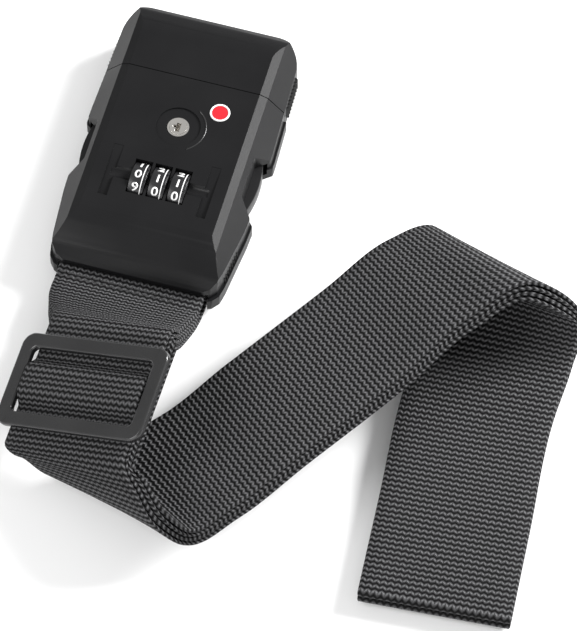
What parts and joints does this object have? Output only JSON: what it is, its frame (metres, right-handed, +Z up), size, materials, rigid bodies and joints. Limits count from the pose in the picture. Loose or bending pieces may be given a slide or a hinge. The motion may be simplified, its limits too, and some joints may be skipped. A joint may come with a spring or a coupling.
{
  "type": "luggage strap",
  "caption": "Folded webbing luggage strap with a combination and key buckle, side release latches, a pull-out tongue and a tri-glide slider.",
  "frame": {"origin": "on the table under the middle of the buckle, on the underside of the strap pass that lies under it", "axes": "+X across the buckle, +Y along the buckle towards the tongue, +Z up from the table"},
  "size_m": [0.1852, 0.1945, 0.0432],
  "materials": {
    "case_plastic": "satin moulded",
    "inner_plastic": "matt moulded",
    "latch_plastic": "satin moulded",
    "glide_plastic": "satin moulded",
    "dial_plastic": "moulded, white filled digits",
    "steel": "plain",
    "key_metal": "plated",
    "inlay": "plain colour",
    "webbing": "ribbed woven polyester"
  },
  "bodies": {
    "lock_case": {"case_top": "case_plastic", "case_back": "case_plastic", "anchor_pin": "steel", "case_screws": "steel", "crown_inlay": "inlay", "dial_cradle": "inner_plastic", "dial_spindle": "steel", "detent_leaf": "steel", "dial_sleeve_1": "inner_plastic", "dial_sleeve_2": "inner_plastic", "dial_sleeve_3": "inner_plastic", "key_bush": "key_metal", "bolt_frame": "inner_plastic", "strap_run_1": "webbing", "strap_run_2": "webbing", "strap_run_3": "webbing", "strap_run_4": "webbing"},
    "tongue": {"tongue_cap": "case_plastic", "tongue_blade": "inner_plastic", "tongue_pin": "steel", "tongue_web_loop": "webbing"},
    "latch_left": {"latch_left": "latch_plastic"},
    "latch_right": {"latch_right": "latch_plastic"},
    "dial_1": {"dial_1": "dial_plastic"},
    "dial_2": {"dial_2": "dial_plastic"},
    "dial_3": {"dial_3": "dial_plastic"},
    "key_plug": {"key_plug": "key_metal"},
    "lock_bolt": {"lock_bolt": "steel"},
    "reset_pin": {"reset_pin": "inner_plastic"},
    "slider": {"glide_frame": "glide_plastic"}
  },
  "joints": [
    {"name": "tongue_slide", "type": "slide", "parent": "lock_case", "child": "tongue", "axis": [0, 1, 0], "range_m": [0, 0.03]},
    {"name": "latch_left_squeeze", "type": "hinge", "parent": "tongue", "child": "latch_left", "pos_m": [-0.0247, 0.02945, 0.0087], "axis": [0, 0, 1], "range_deg": [0, 5], "stiffness_Nm_per_rad": 0.3},
    {"name": "latch_right_squeeze", "type": "hinge", "parent": "tongue", "child": "latch_right", "pos_m": [0.0247, 0.02945, 0.0087], "axis": [0, 0, -1], "range_deg": [0, 5], "stiffness_Nm_per_rad": 0.3},
    {"name": "dial_1_turn", "type": "hinge", "parent": "lock_case", "child": "dial_1", "pos_m": [-0.0069, -0.01755, 0.0153], "axis": [1, 0, 0], "continuous": true},
    {"name": "dial_2_turn", "type": "hinge", "parent": "lock_case", "child": "dial_2", "pos_m": [0, -0.01755, 0.0153], "axis": [1, 0, 0], "continuous": true},
    {"name": "dial_3_turn", "type": "hinge", "parent": "lock_case", "child": "dial_3", "pos_m": [0.0069, -0.01755, 0.0153], "axis": [1, 0, 0], "continuous": true},
    {"name": "key_turn", "type": "hinge", "parent": "lock_case", "child": "key_plug", "pos_m": [0, 0.00495, 0.0182], "axis": [0, 0, 1], "range_deg": [0, 90]},
    {"name": "bolt_slide", "type": "slide", "parent": "lock_case", "child": "lock_bolt", "axis": [0, 1, 0], "range_m": [0, 0.0016]},
    {"name": "reset_press", "type": "slide", "parent": "lock_case", "child": "reset_pin", "axis": [0, 0, 1], "range_m": [0, 0.0015], "stiffness_N_per_m": 300},
    {"name": "glide_slide", "type": "slide", "parent": "lock_case", "child": "slider", "axis": [-0.0587, -0.9789, -0.1958], "range_m": [-0.002, 0.002]}
  ],
  "couplings": [
    {"joint": "key_turn", "follows": "bolt_slide", "rad_per_m": 981.75}
  ]
}
